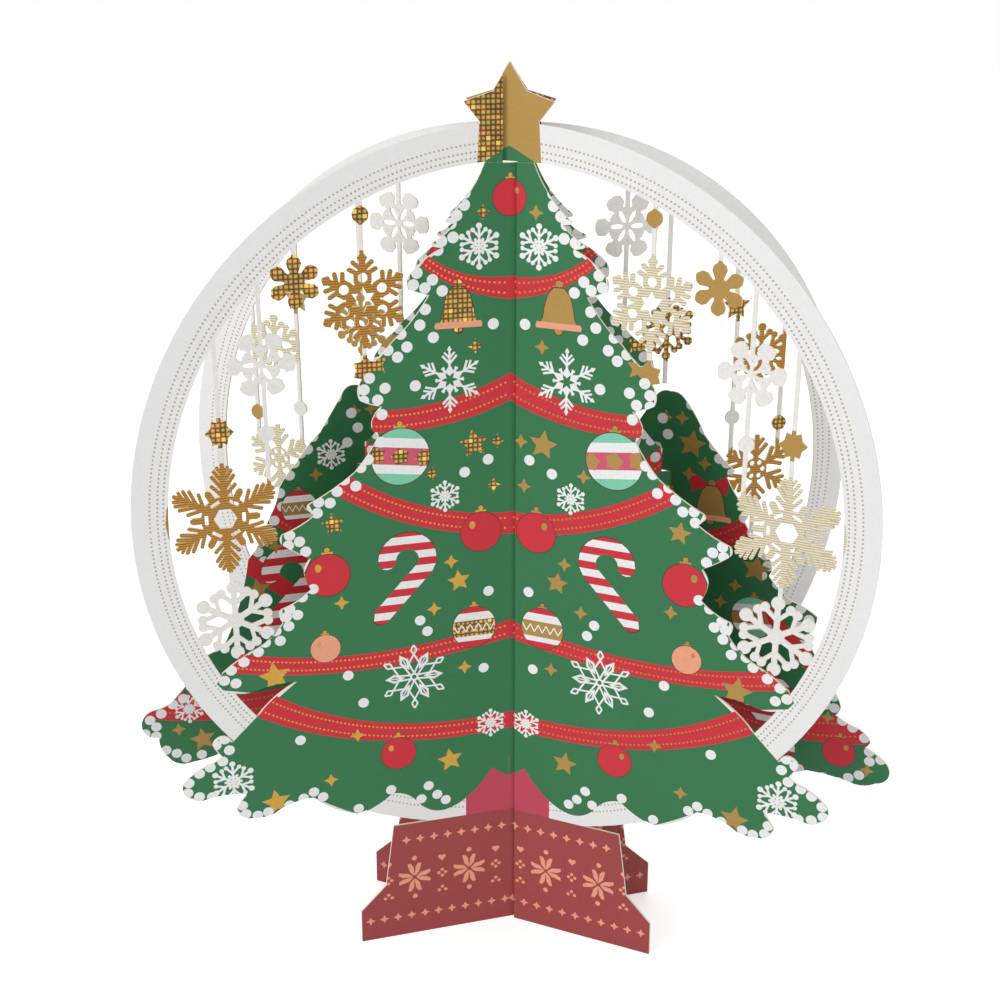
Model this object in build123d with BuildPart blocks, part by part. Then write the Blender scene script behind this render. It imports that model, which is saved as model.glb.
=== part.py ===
"""Free-standing pop up card: two upright tree sheets that cross at their middle, and two small
tree sheets that cross their rear halves, so that all four fold together like a lattice.

The sheets stand upright. On each sheet "across" runs along it and "up" is the height.
Shapes are given in fractions of the frame ring's outer radius and scaled by it.
"""

import os
from math import cos, radians, sin

from build123d import *

# ---- driving dimensions, millimetres and degrees ----
ring_radius = 75.0            # outer radius of the white ring that frames the tree
card = 0.5                    # thickness of the laminated card
spread = 40.0                 # angle between the two big sheets as the card stands
slot_half = 1.5               # from a crossing line to the edge of its slot
small_offset = 0.46           # crossing line of a small tree, fractions of the ring radius

ring_inner = 0.907            # inner edge of the ring
ring_height = 1.350           # centre of the ring above the floor
string = 0.011                # width of the card strips that hang the ornaments
neck_height = 2.250           # foot of the star's neck, where the big sheets' slots meet
side_slot_foot = 1.385        # foot of the short slot that carries a small tree
rear_slot_middle = 0.690      # where the two small trees' slots meet
bar_top = 0.378               # top of the stand
slot_play = 0.002             # gap between the ends of two slots that meet

# ---- outlines: across, up and bow of the cut to the next point ----
star_edge = [
    (0.000, 2.494, 0), (0.045, 2.425, 0), (0.119, 2.402, 0), (0.078, 2.352, 0), (0.082, 2.254, 0),
]
tree_edge = [
    (0.066, 2.252, -0.011), (0.165, 2.116, 0.004), (0.164, 2.106, 0), (0.146, 2.104, -0.005),
    (0.202, 2.060, 0.004), (0.200, 2.049, 0), (0.178, 2.044, 0.006), (0.263, 1.982, 0.005),
    (0.268, 1.945, 0.003), (0.214, 1.926, -0.006), (0.311, 1.812, 0), (0.336, 1.784, 0.004),
    (0.401, 1.707, 0.005), (0.402, 1.662, 0.003), (0.344, 1.641, 0.003), (0.367, 1.614, 0.003),
    (0.372, 1.585, 0.002), (0.355, 1.561, -0.004), (0.422, 1.467, -0.004), (0.545, 1.391, 0.003),
    (0.550, 1.376, 0), (0.532, 1.358, -0.004), (0.620, 1.313, 0.005), (0.622, 1.286, 0.002),
    (0.548, 1.238, 0.004), (0.567, 1.200, 0.003), (0.550, 1.148, -0.006), (0.630, 1.101, 0.004),
    (0.638, 1.080, 0.002), (0.629, 1.061, -0.006), (0.697, 0.997, 0.004), (0.798, 0.935, 0.005),
    (0.800, 0.884, 0.006), (0.728, 0.866, -0.006), (0.601, 0.882, 0.008), (0.713, 0.793, 0),
    (0.786, 0.722, 0.006), (0.810, 0.744, 0.006), (0.839, 0.722, 0.003), (0.815, 0.683, -0.004),
    (0.858, 0.660, 0.004), (0.922, 0.617, 0.014), (0.903, 0.562, 0.004), (0.871, 0.555, -0.006),
    (0.756, 0.556, 0), (0.785, 0.515, 0.010), (0.752, 0.476, 0.004), (0.686, 0.478, -0.010),
    (0.571, 0.512, 0.010), (0.450, 0.438, 0.006), (0.349, 0.483, 0.006), (0.281, 0.456, 0),
    (0.255, 0.416, 0.008), (0.190, 0.411, 0.012), (0.130, 0.440, 0),
]
stand_edge = [
    (0.000, 0.440, 0), (0.130, 0.440, 0), (0.130, bar_top, 0), (0.345, bar_top, 0),
    (0.372, 0.181, 0), (0.448, 0.105, 0), (0.449, 0.000, 0),
]
small_tree_left = [
    (0.000, 1.616, 0.010), (0.044, 1.593, 0), (0.109, 1.488, 0.004), (0.180, 1.404, 0.003),
    (0.231, 1.335, -0.004), (0.257, 1.260, 0), (0.306, 1.156, 0), (0.329, 1.131, -0.010),
    (0.409, 0.879, -0.004), (0.470, 0.846, -0.004), (0.541, 0.746, 0), (0.574, 0.711, -0.004),
    (0.627, 0.693, 0.014), (0.661, 0.636, 0.010), (0.617, 0.604, 0.008), (0.594, 0.534, 0.012),
    (0.530, 0.509, 0.006), (0.410, 0.540, 0.006), (0.300, 0.510, 0.006), (0.200, 0.535, 0.006),
    (0.100, 0.505, 0.006), (0.000, 0.530, 0),
]
small_tree_right = [
    (0.000, 1.616, 0.006), (0.040, 1.600, 0.004), (0.100, 1.505, -0.004), (0.190, 1.412, 0.003),
    (0.170, 1.391, -0.006), (0.236, 1.300, 0.003), (0.226, 1.268, -0.004), (0.310, 1.160, 0.004),
    (0.304, 1.120, -0.004), (0.373, 1.056, 0.004), (0.446, 1.022, 0.008), (0.420, 0.960, -0.004),
    (0.512, 0.802, 0.003), (0.532, 0.760, 0.003), (0.519, 0.734, -0.004), (0.589, 0.703, 0.003),
    (0.622, 0.672, 0.003), (0.608, 0.651, 0.002), (0.660, 0.622, 0.004), (0.682, 0.590, 0.012),
    (0.648, 0.545, 0.006), (0.588, 0.529, -0.005), (0.451, 0.540, 0.006), (0.340, 0.510, 0.006),
    (0.220, 0.535, 0.006), (0.110, 0.505, 0.006), (0.000, 0.530, 0),
]


def scaled(*values):
    """Fractions of the ring radius as millimetres."""
    return tuple(value * ring_radius for value in values)


def upright(turn, origin=(0, 0)):
    """Plane of a sheet: x runs along it at this angle to X, y is up."""
    return Plane(
        origin=(origin[0], origin[1], 0),
        x_dir=(cos(radians(turn)), sin(radians(turn)), 0),
        z_dir=(sin(radians(turn)), -cos(radians(turn)), 0),
    )


def half_face(edge, side=1):
    """Face between the sheet's middle line and a run of arcs down one side."""
    first, last = edge[0], edge[-1]
    with BuildLine() as outline:
        if first[0]:
            Line((0, first[1] * ring_radius), (side * first[0] * ring_radius, first[1] * ring_radius))
        for start, end in zip(edge, edge[1:]):
            here = (side * start[0] * ring_radius, start[1] * ring_radius)
            there = (side * end[0] * ring_radius, end[1] * ring_radius)
            if start[2]:
                SagittaArc(here, there, side * start[2] * ring_radius)
            else:
                Line(here, there)
        if last[0]:
            Line((side * last[0] * ring_radius, last[1] * ring_radius), (0, last[1] * ring_radius))
        Line((0, last[1] * ring_radius), (0, first[1] * ring_radius))
    make_face(outline.edges())


def arms(profile, first_angle=30):
    """Six equal arms from half profiles of distance along the arm and half width."""
    right = [scaled(along, half) for along, half in profile]
    left = [scaled(along, -half) for along, half in reversed(profile)]
    with PolarLocations(0, 6, start_angle=first_angle):
        Polygon(*right, *left, align=None)


def fingers(start, length, width, lean, first_angle=30):
    """A pair of round-ended fingers that lean off each of six arms."""
    for side in (-1, 1):
        middle = scaled(
            start + length / 2 * cos(radians(lean)), side * length / 2 * sin(radians(lean))
        )
        with PolarLocations(0, 6, start_angle=first_angle):
            with Locations(middle):
                SlotOverall(length * ring_radius, width * ring_radius, rotation=side * lean)


def star_corners(points, outer, inner, turn=0):
    """Corners of a star with its first point up, turned by an angle."""
    return [
        (
            ring_radius * distance * sin(radians(turn + 180 * corner / points)),
            ring_radius * distance * cos(radians(turn + 180 * corner / points)),
        )
        for corner, distance in enumerate((outer, inner) * points)
    ]


# ---- hanging ornaments, each drawn about its own centre ----
with BuildSketch() as gold_flake:
    arms([(0.000, 0.012), (0.030, 0.012), (0.044, 0.023), (0.064, 0.023), (0.078, 0.009),
          (0.097, 0.008), (0.107, 0.014), (0.119, 0.003)])
    fingers(0.074, 0.038, 0.012, 48)
    fingers(0.060, 0.044, 0.012, 62)
    Circle(ring_radius * 0.044)
    with PolarLocations(ring_radius * 0.056, 6, start_angle=30):
        Circle(ring_radius * 0.0125, mode=Mode.SUBTRACT)
    Polygon(*star_corners(6, 0.034, 0.018), align=None, mode=Mode.SUBTRACT)

with BuildSketch() as feather_flake:
    arms([(0.000, 0.010), (0.070, 0.009), (0.136, 0.006), (0.149, 0.005)])
    fingers(0.060, 0.048, 0.010, 44)
    fingers(0.078, 0.052, 0.010, 36)
    fingers(0.098, 0.044, 0.010, 34)
    fingers(0.118, 0.030, 0.009, 32)
    arms([(0.000, 0.009), (0.082, 0.009), (0.090, 0.004)], first_angle=0)
    Circle(ring_radius * 0.062)
    RegularPolygon(ring_radius * 0.030, 6, mode=Mode.SUBTRACT)
    with PolarLocations(ring_radius * 0.048, 6):
        Rectangle(ring_radius * 0.009, ring_radius * 0.026, mode=Mode.SUBTRACT)

with BuildSketch() as ball_flake:
    arms([(0.000, 0.0075), (0.090, 0.0075)])
    fingers(0.046, 0.046, 0.011, 48)
    Circle(ring_radius * 0.022)
    with PolarLocations(ring_radius * 0.094, 6, start_angle=30):
        Circle(ring_radius * 0.018)
    for side in (-1, 1):
        with PolarLocations(ring_radius * 0.086, 6, start_angle=30 + side * 23):
            Circle(ring_radius * 0.0125)

with BuildSketch() as petal_flake:
    arms([(0.000, 0.012), (0.022, 0.018), (0.040, 0.013), (0.052, 0.014), (0.062, 0.023),
          (0.080, 0.021), (0.086, 0.010)], first_angle=0)
    fingers(0.026, 0.030, 0.013, 52, first_angle=0)
    Circle(ring_radius * 0.026)
    with PolarLocations(ring_radius * 0.028, 6):
        Ellipse(ring_radius * 0.018, ring_radius * 0.0065, mode=Mode.SUBTRACT)

with BuildSketch() as blunt_flake:
    arms([(0.000, 0.010), (0.026, 0.011), (0.046, 0.019), (0.058, 0.016), (0.067, 0.003)])
    Circle(ring_radius * 0.026)

with BuildSketch() as twig_flake:
    arms([(0.000, 0.006), (0.072, 0.006)])
    fingers(0.034, 0.034, 0.010, 46)
    with PolarLocations(ring_radius * 0.072, 6, start_angle=30):
        Circle(ring_radius * 0.012)
    for side in (-1, 1):
        with PolarLocations(ring_radius * 0.062, 6, start_angle=30 + side * 22):
            Circle(ring_radius * 0.009)
    Circle(ring_radius * 0.022)
    Circle(ring_radius * 0.011, mode=Mode.SUBTRACT)

with BuildSketch() as branch_flake:
    arms([(0.000, 0.007), (0.092, 0.007), (0.103, 0.006)])
    fingers(0.040, 0.048, 0.012, 42)
    fingers(0.066, 0.034, 0.011, 38)
    Circle(ring_radius * 0.034)
    with PolarLocations(ring_radius * 0.022, 6):
        Circle(ring_radius * 0.007, mode=Mode.SUBTRACT)

with BuildSketch() as upright_star:
    Polygon(*star_corners(6, 0.037, 0.026), align=None)

with BuildSketch() as level_star:
    Polygon(*star_corners(6, 0.037, 0.026, turn=30), align=None)

with BuildSketch() as five_point_star:
    Polygon(*star_corners(5, 0.040, 0.021), align=None)

with BuildSketch() as ball:
    Circle(ring_radius * 0.021)

# ornament, across, up; then strips as across, foot, top
front_ornaments = [
    (ball, 0.385, 2.138), (gold_flake, 0.384, 1.925), (upright_star, 0.383, 1.742),
    (blunt_flake, 0.555, 1.979), (petal_flake, 0.648, 1.776), (ball, 0.645, 1.594),
    (level_star, 0.763, 1.607), (feather_flake, 0.7625, 1.375), (ball_flake, 0.754, 1.085),
]
front_strips = [
    (0.385, 2.150, 2.180), (0.385, 2.035, 2.125), (0.384, 1.765, 1.812), (0.555, 2.036, 2.080),
    (0.647, 1.815, 1.995), (0.645, 1.605, 1.735), (0.645, 1.435, 1.585), (0.763, 1.630, 1.850),
    (0.763, 1.515, 1.585), (0.7575, 1.165, 1.235),
]
rear_ornaments = [
    (petal_flake, 0.3175, 2.074), (twig_flake, 0.440, 1.790), (five_point_star, 0.640, 1.842),
    (twig_flake, 0.720, 1.705), (ball, 0.646, 1.525), (ball, 0.789, 1.497),
    (branch_flake, 0.726, 1.364),
]
rear_strips = [
    (0.3175, 2.110, 2.210), (0.3175, 1.800, 2.035), (0.440, 1.860, 2.155), (0.440, 1.640, 1.720),
    (0.640, 1.870, 2.002), (0.646, 1.535, 1.822), (0.646, 1.395, 1.515), (0.789, 1.655, 1.806),
    (0.789, 1.505, 1.680), (0.789, 1.400, 1.487), (0.726, 0.975, 1.270),
]


def hang(ornaments, strips, side):
    """Ornaments and their strips in the window between tree and ring on one side."""
    for ornament, across, up in ornaments:
        with Locations(scaled(side * across, up)):
            add(ornament.sketch)
    for across, foot, top in strips:
        with Locations(scaled(side * across, (foot + top) / 2)):
            Rectangle(ring_radius * string, ring_radius * (top - foot))


def slot(across, foot, top):
    """Open slot about a crossing line."""
    with Locations(scaled(across, (foot + top) / 2)):
        Rectangle(2 * slot_half, ring_radius * (top - foot), mode=Mode.SUBTRACT)


def big_sheet_outline(front_side):
    """Ring, tree, star and stand in one piece, with ornaments in both windows."""
    with Locations(scaled(0, ring_height)):
        Circle(ring_radius)
        Circle(ring_radius * ring_inner, mode=Mode.SUBTRACT)
    half_face(tree_edge)
    half_face(star_edge)
    half_face(stand_edge)
    mirror(about=Plane.YZ)
    hang(front_ornaments, front_strips, front_side)
    hang(rear_ornaments, rear_strips, -front_side)


half_spread = spread / 2
reach = small_offset * ring_radius
along_a = (cos(radians(half_spread)), sin(radians(half_spread)))
along_b = (along_a[0], -along_a[1])

# ---- big sheet A: front left to rear right, slotted from the top ----
with BuildPart() as tree_sheet_a:
    with BuildSketch(upright(half_spread)):
        big_sheet_outline(front_side=-1)
        slot(0, neck_height, 2.55)
        slot(small_offset, side_slot_foot, 1.60)
    extrude(amount=card / 2, both=True)

# ---- big sheet B: rear left to front right, slotted from the foot ----
with BuildPart() as tree_sheet_b:
    with BuildSketch(upright(-half_spread)):
        big_sheet_outline(front_side=1)
        slot(0, -0.05, neck_height + slot_play)
        slot(-small_offset, side_slot_foot, 1.60)
    extrude(amount=card / 2, both=True)


def small_tree_outline():
    """Small tree about its own middle line."""
    half_face(small_tree_left, side=-1)
    half_face(small_tree_right)
    slot(0, 0.45, side_slot_foot + slot_play)


# ---- small tree A: parallel to sheet A, hung on the rear half of sheet B ----
with BuildPart() as small_tree_a:
    with BuildSketch(upright(half_spread, (-reach * along_b[0], -reach * along_b[1]))):
        small_tree_outline()
        slot(small_offset, 0.45, rear_slot_middle + slot_play)
    extrude(amount=card / 2, both=True)

# ---- small tree B: parallel to sheet B, hung on the rear half of sheet A ----
with BuildPart() as small_tree_b:
    with BuildSketch(upright(-half_spread, (reach * along_a[0], reach * along_a[1]))):
        small_tree_outline()
        slot(-small_offset, rear_slot_middle, 1.10)
    extrude(amount=card / 2, both=True)

sheets = {
    "tree_sheet_a": tree_sheet_a,
    "tree_sheet_b": tree_sheet_b,
    "small_tree_a": small_tree_a,
    "small_tree_b": small_tree_b,
}
os.makedirs("parts", exist_ok=True)
for name, sheet in sheets.items():
    sheet.part.label = name
    export_step(sheet.part, f"parts/{name}.step")
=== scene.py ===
from math import cos, pi, radians, sin

import bmesh
import bpy
import numpy as np
from bpy.props import FloatProperty, FloatVectorProperty, PointerProperty
from mathutils import Matrix, Vector
from mathutils.geometry import delaunay_2d_cdt


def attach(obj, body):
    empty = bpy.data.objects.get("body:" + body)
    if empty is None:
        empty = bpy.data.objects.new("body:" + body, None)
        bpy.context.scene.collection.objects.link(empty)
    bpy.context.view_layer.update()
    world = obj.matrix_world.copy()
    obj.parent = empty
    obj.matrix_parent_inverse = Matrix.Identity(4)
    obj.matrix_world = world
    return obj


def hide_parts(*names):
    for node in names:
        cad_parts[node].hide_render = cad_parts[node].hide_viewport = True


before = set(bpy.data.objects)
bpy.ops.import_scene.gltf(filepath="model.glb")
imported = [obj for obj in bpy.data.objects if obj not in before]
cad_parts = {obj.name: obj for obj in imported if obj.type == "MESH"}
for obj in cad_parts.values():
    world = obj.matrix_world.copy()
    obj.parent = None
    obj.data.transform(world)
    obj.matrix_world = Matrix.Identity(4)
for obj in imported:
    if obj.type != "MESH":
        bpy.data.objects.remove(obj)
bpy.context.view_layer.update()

bl_info = {
    "name": "Pop up card",
    "version": (1, 0, 0),
    "blender": (4, 5, 0),
    "location": "3D View > Sidebar > Pop up card",
    "description": "Prints and finishes the sheets of a folding pop up card",
    "category": "Object",
}

RING = 0.075                 # outer radius of the ring; print positions are fractions of it
RING_MIDDLE = 1.350
RING_INNER = 0.907
SPREAD = radians(20)         # each big sheet turns this far from the X axis
SMALL_TREE = 0.46            # crossing line of a small tree
MM = 1000.0                  # sheets are drawn in millimetres
SNAP = 1e-4                  # millimetres below which two outline points are one


def ink_colour(red, green, blue):
    """Linear colour from the usual 0 to 255 values."""
    return tuple(
        c / 12.92 if c <= 0.04045 else ((c + 0.055) / 1.055) ** 2.4
        for c in (red / 255, green / 255, blue / 255)
    )


def colour(name, what, *rgb):
    return FloatVectorProperty(
        name=name, description=what, subtype="COLOR", size=3, min=0, max=1,
        default=ink_colour(*rgb))


class CardInks(bpy.types.PropertyGroup):
    pine: colour("Pine green", "Printed green of the trees", 38, 112, 66)
    ribbon: colour("Ribbon red", "Ribbons, red balls and cane stripes", 204, 36, 50)
    stand: colour("Stand", "Knitted-look brown red of the stand", 156, 62, 62)
    trunk: colour("Trunk", "Pink red of the trunk", 190, 62, 88)
    peach: colour("Peach", "Peach motifs", 238, 162, 130)
    mint: colour("Mint", "Mint stripes", 126, 205, 170)
    pink: colour("Pink", "Pink stripes", 208, 84, 112)
    snow: colour("Snow", "Printed snow and flakes", 240, 240, 240)
    ring: colour("Ring", "White of the ring", 238, 238, 238)
    white_flake: colour("White flakes", "White hanging flakes and strips", 236, 234, 230)
    core: colour("Card core", "Cream core seen at the cut edges", 246, 236, 214)
    gold: colour("Matt gold", "Matt gold ink", 174, 138, 72)
    bright: colour("Bright gold", "Bright gold ink", 206, 160, 66)
    # gold foil drawn pale: painted reflection of the white surroundings
    foil: colour("Foil", "Bright gold foil", 188, 138, 58)
    painted_reflection_foil: colour("Pale foil", "Pale striped foil", 236, 228, 204)
    shade: colour("Line", "Fine dark outlines", 60, 36, 30)


class CardFinish(bpy.types.PropertyGroup):
    fibre: FloatProperty(
        name="Fibre size", description="Size of the card's fibres", default=0.00045,
        min=0.0001, max=0.005, subtype="DISTANCE", unit="LENGTH")
    foil_cell: FloatProperty(
        name="Foil square", description="Side of the squares in the sparkling foil",
        default=0.00095, min=0.0002, max=0.01, subtype="DISTANCE", unit="LENGTH")
    foil_line: FloatProperty(
        name="Foil line", description="Spacing of the lines in the lined foil",
        default=0.00050, min=0.0002, max=0.01, subtype="DISTANCE", unit="LENGTH")
    relief: FloatProperty(
        name="Relief", description="Height of the card's surface grain", default=0.00004,
        min=0, max=0.001, subtype="DISTANCE", unit="LENGTH")


# ---------------------------------------------------------------- shader effects

def new_group(name, inputs, outputs):
    group = bpy.data.node_groups.new(name, "ShaderNodeTree")
    for socket, kind, default in inputs:
        made = group.interface.new_socket(socket, in_out="INPUT", socket_type=kind)
        made.default_value = default
    for socket, kind in outputs:
        group.interface.new_socket(socket, in_out="OUTPUT", socket_type=kind)
    entry = group.nodes.new("NodeGroupInput")
    leave = group.nodes.new("NodeGroupOutput")
    return group, entry.outputs, leave.inputs


def maths(tree, operation, first, second=None, third=None):
    node = tree.nodes.new("ShaderNodeMath")
    node.operation = operation
    for socket, value in zip(node.inputs, (first, second, third)):
        if isinstance(value, (int, float)):
            socket.default_value = value
        elif value is not None:
            tree.links.new(value, socket)
    return node.outputs[0]


def mixed(tree, factor, first, second, blend="MIX"):
    node = tree.nodes.new("ShaderNodeMix")
    node.data_type = "RGBA"
    node.blend_type = blend
    for socket, value in ((node.inputs[0], factor), (node.inputs[6], first), (node.inputs[7], second)):
        if isinstance(value, (int, float, tuple)):
            socket.default_value = value
        else:
            tree.links.new(value, socket)
    return node.outputs[2]


def noise(tree, place, scale, detail=2.0):
    node = tree.nodes.new("ShaderNodeTexNoise")
    node.inputs["Detail"].default_value = detail
    tree.links.new(place, node.inputs["Vector"])
    if isinstance(scale, (int, float)):
        node.inputs["Scale"].default_value = scale
    else:
        tree.links.new(scale, node.inputs["Scale"])
    return node.outputs["Fac"]


def object_place(tree):
    return tree.nodes.new("ShaderNodeTexCoord").outputs["Object"]


def make_card_grain():
    """Fibres and faint mottling of matt printed card."""
    group, given, out = new_group(
        "card_grain",
        [("Colour", "NodeSocketColor", (1, 1, 1, 1)), ("Fibre", "NodeSocketFloat", 0.00045),
         ("Mottle", "NodeSocketFloat", 0.12)],
        [("Colour", "NodeSocketColor"), ("Height", "NodeSocketFloat"),
         ("Roughness", "NodeSocketFloat")])
    place = object_place(group)
    fibres = noise(group, place, maths(group, "DIVIDE", 1.0, given["Fibre"]), 4)
    clouds = noise(group, place, 55, 3)
    both = maths(group, "MULTIPLY_ADD", fibres, 0.7, maths(group, "MULTIPLY", clouds, 0.3))
    swing = maths(group, "MULTIPLY", maths(group, "SUBTRACT", both, 0.5), given["Mottle"])
    light = maths(group, "MULTIPLY_ADD", swing, 3.2, 1.0)
    grey = group.nodes.new("ShaderNodeCombineColor")
    for socket in grey.inputs:
        group.links.new(light, socket)
    group.links.new(mixed(group, 1.0, given["Colour"], grey.outputs[0], "MULTIPLY"), out["Colour"])
    group.links.new(fibres, out["Height"])
    group.links.new(maths(group, "MULTIPLY_ADD", fibres, 0.18, 0.46), out["Roughness"])
    return group


def make_foil_squares():
    """Foil pressed in small squares, each painted with its own reflected colour and a painted highlight
    at its middle, with dark lines between.
    """
    group, given, out = new_group(
        "foil_squares",
        [("Colour", "NodeSocketColor", (1, 1, 1, 1)), ("Square", "NodeSocketFloat", 0.001)],
        [("Colour", "NodeSocketColor"), ("Height", "NodeSocketFloat"),
         ("Roughness", "NodeSocketFloat")])
    place = object_place(group)
    apart = group.nodes.new("ShaderNodeSeparateXYZ")
    group.links.new(place, apart.inputs[0])
    cells, near = [], []
    for axis in ("X", "Z"):
        along = maths(group, "DIVIDE", apart.outputs[axis], given["Square"])
        cells.append(maths(group, "FLOOR", along))
        centre = maths(group, "ABSOLUTE", maths(group, "SUBTRACT", maths(group, "FRACT", along), 0.5))
        near.append(centre)
    together = group.nodes.new("ShaderNodeCombineXYZ")
    group.links.new(cells[0], together.inputs[0])
    group.links.new(cells[1], together.inputs[1])
    spread = group.nodes.new("ShaderNodeTexWhiteNoise")
    group.links.new(together.outputs[0], spread.inputs["Vector"])
    ramp = group.nodes.new("ShaderNodeValToRGB")
    ramp.color_ramp.interpolation = "CONSTANT"
    # painted reflections: each square's colour stands for the light its foil throws back
    painted_reflections = [(0.0, (0.13, 0.055, 0.012)), (0.34, (0.24, 0.11, 0.02)), (0.60, (0.42, 0.22, 0.04)),
             (0.76, (0.20, 0.17, 0.03)), (0.86, (0.80, 0.58, 0.10)), (0.94, (0.55, 0.18, 0.05))]
    ramp.color_ramp.elements[0].color = (*painted_reflections[0][1], 1)
    ramp.color_ramp.elements[1].position = painted_reflections[1][0]
    ramp.color_ramp.elements[1].color = (*painted_reflections[1][1], 1)
    for position, rgb in painted_reflections[2:]:
        ramp.color_ramp.elements.new(position).color = (*rgb, 1)
    group.links.new(spread.outputs["Value"], ramp.inputs[0])
    border = maths(group, "GREATER_THAN", maths(group, "MAXIMUM", near[0], near[1]), 0.43)
    from_middle = maths(group, "SQRT", maths(group, "ADD", maths(
        group, "MULTIPLY", near[0], near[0]), maths(group, "MULTIPLY", near[1], near[1])))
    # painted highlight at the middle of every square
    glint = maths(group, "MULTIPLY", maths(group, "LESS_THAN", from_middle, 0.3), 0.35)
    squares = mixed(group, 0.15, ramp.outputs[0], given["Colour"])
    reflections_and_glint = mixed(group, glint, squares, (0.9, 0.72, 0.3, 1))
    group.links.new(mixed(group, border, reflections_and_glint, (0.09, 0.045, 0.012, 1)), out["Colour"])
    group.links.new(maths(group, "SUBTRACT", 1.0, border), out["Height"])
    group.links.new(maths(group, "MULTIPLY_ADD", spread.outputs["Value"], 0.25, 0.2), out["Roughness"])
    return group


def make_foil_lines():
    """Foil pressed in fine wavering lines."""
    group, given, out = new_group(
        "foil_lines",
        [("Colour", "NodeSocketColor", (1, 1, 1, 1)), ("Between", "NodeSocketColor", (1, 1, 1, 1)),
         ("Spacing", "NodeSocketFloat", 0.001)],
        [("Colour", "NodeSocketColor"), ("Height", "NodeSocketFloat"),
         ("Roughness", "NodeSocketFloat")])
    place = object_place(group)
    apart = group.nodes.new("ShaderNodeSeparateXYZ")
    group.links.new(place, apart.inputs[0])
    waver = maths(group, "MULTIPLY", noise(group, place, 260, 2), 0.0007)
    height = maths(group, "ADD", apart.outputs["Z"], waver)
    turn = maths(group, "MULTIPLY", maths(group, "DIVIDE", height, given["Spacing"]), 2 * pi)
    wave = maths(group, "MULTIPLY_ADD", maths(group, "SINE", turn), 0.5, 0.5)
    group.links.new(mixed(group, wave, given["Colour"], given["Between"]), out["Colour"])
    group.links.new(wave, out["Height"])
    group.links.new(maths(group, "MULTIPLY_ADD", wave, 0.2, 0.26), out["Roughness"])
    return group


def make_dot_row():
    """One row of pressed dots round the ring."""
    group, given, out = new_group(
        "dot_row",
        [("Radius", "NodeSocketFloat", 0.07), ("Spacing", "NodeSocketFloat", 0.0007),
         ("Size", "NodeSocketFloat", 0.0002)],
        [("Mask", "NodeSocketFloat")])
    apart = group.nodes.new("ShaderNodeSeparateXYZ")
    group.links.new(object_place(group), apart.inputs[0])
    up = maths(group, "SUBTRACT", apart.outputs["Z"], RING_MIDDLE * RING)
    across = apart.outputs["X"]
    reach = maths(group, "SQRT", maths(group, "ADD", maths(group, "MULTIPLY", up, up),
                                       maths(group, "MULTIPLY", across, across)))
    off = maths(group, "SUBTRACT", reach, given["Radius"])
    turn = maths(group, "ARCTAN2", up, across)
    walk = maths(group, "DIVIDE", maths(group, "MULTIPLY", turn, given["Radius"]), given["Spacing"])
    step = maths(group, "MULTIPLY", maths(group, "SUBTRACT", maths(group, "FRACT", maths(
        group, "ADD", walk, 1000.0)), 0.5), given["Spacing"])
    far = maths(group, "SQRT", maths(group, "ADD", maths(group, "MULTIPLY", off, off),
                                     maths(group, "MULTIPLY", step, step)))
    group.links.new(maths(group, "LESS_THAN", far, given["Size"]), out["Mask"])
    return group


def place_group(material, name, **values):
    node = material.node_tree.nodes.new("ShaderNodeGroup")
    node.node_tree = bpy.data.node_groups[name]
    for socket, value in values.items():
        node.inputs[socket.replace("_", " ")].default_value = value
    return node


def new_material(name, metallic=0.0, sheen=0.0):
    material = bpy.data.materials.new(name)
    material.use_nodes = True
    shader = material.node_tree.nodes["Principled BSDF"]
    shader.inputs["Metallic"].default_value = metallic
    shader.inputs["IOR"].default_value = 1.45
    shader.inputs["Sheen Weight"].default_value = sheen
    return material, shader


def finish_surface(material, shader, effect, relief):
    """Colour, roughness and relief of a surface from its effect group."""
    tree = material.node_tree
    tree.links.new(effect.outputs["Colour"], shader.inputs["Base Color"])
    tree.links.new(effect.outputs["Roughness"], shader.inputs["Roughness"])
    bump = tree.nodes.new("ShaderNodeBump")
    bump.inputs["Distance"].default_value = relief
    bump.inputs["Strength"].default_value = 0.6
    tree.links.new(effect.outputs["Height"], bump.inputs["Height"])
    tree.links.new(bump.outputs["Normal"], shader.inputs["Normal"])


def opaque(rgb):
    return (rgb[0], rgb[1], rgb[2], 1.0)


def printed(name, rgb, finish, metallic=0.0):
    material, shader = new_material(name, metallic=metallic, sheen=0.05)
    effect = place_group(material, "card_grain", Colour=opaque(rgb), Fibre=finish.fibre,
                         Mottle=0.12)
    finish_surface(material, shader, effect, finish.relief)
    return material


def foil_of_squares(name, rgb, finish):
    material, shader = new_material(name, metallic=0.75)
    effect = place_group(material, "foil_squares", Colour=opaque(rgb), Square=finish.foil_cell)
    finish_surface(material, shader, effect, finish.relief)
    return material


def foil_of_lines(name, rgb, between, finish, metallic):
    material, shader = new_material(name, metallic=metallic)
    effect = place_group(material, "foil_lines", Colour=opaque(rgb), Between=opaque(between),
                         Spacing=finish.foil_line)
    finish_surface(material, shader, effect, finish.relief)
    return material


RING_DOT_ROWS = (0.9535, 0.9340, 0.9190)     # fractions of RING
RING_DOT_STEP = 0.00085
RING_DOT = 0.00019


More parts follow.
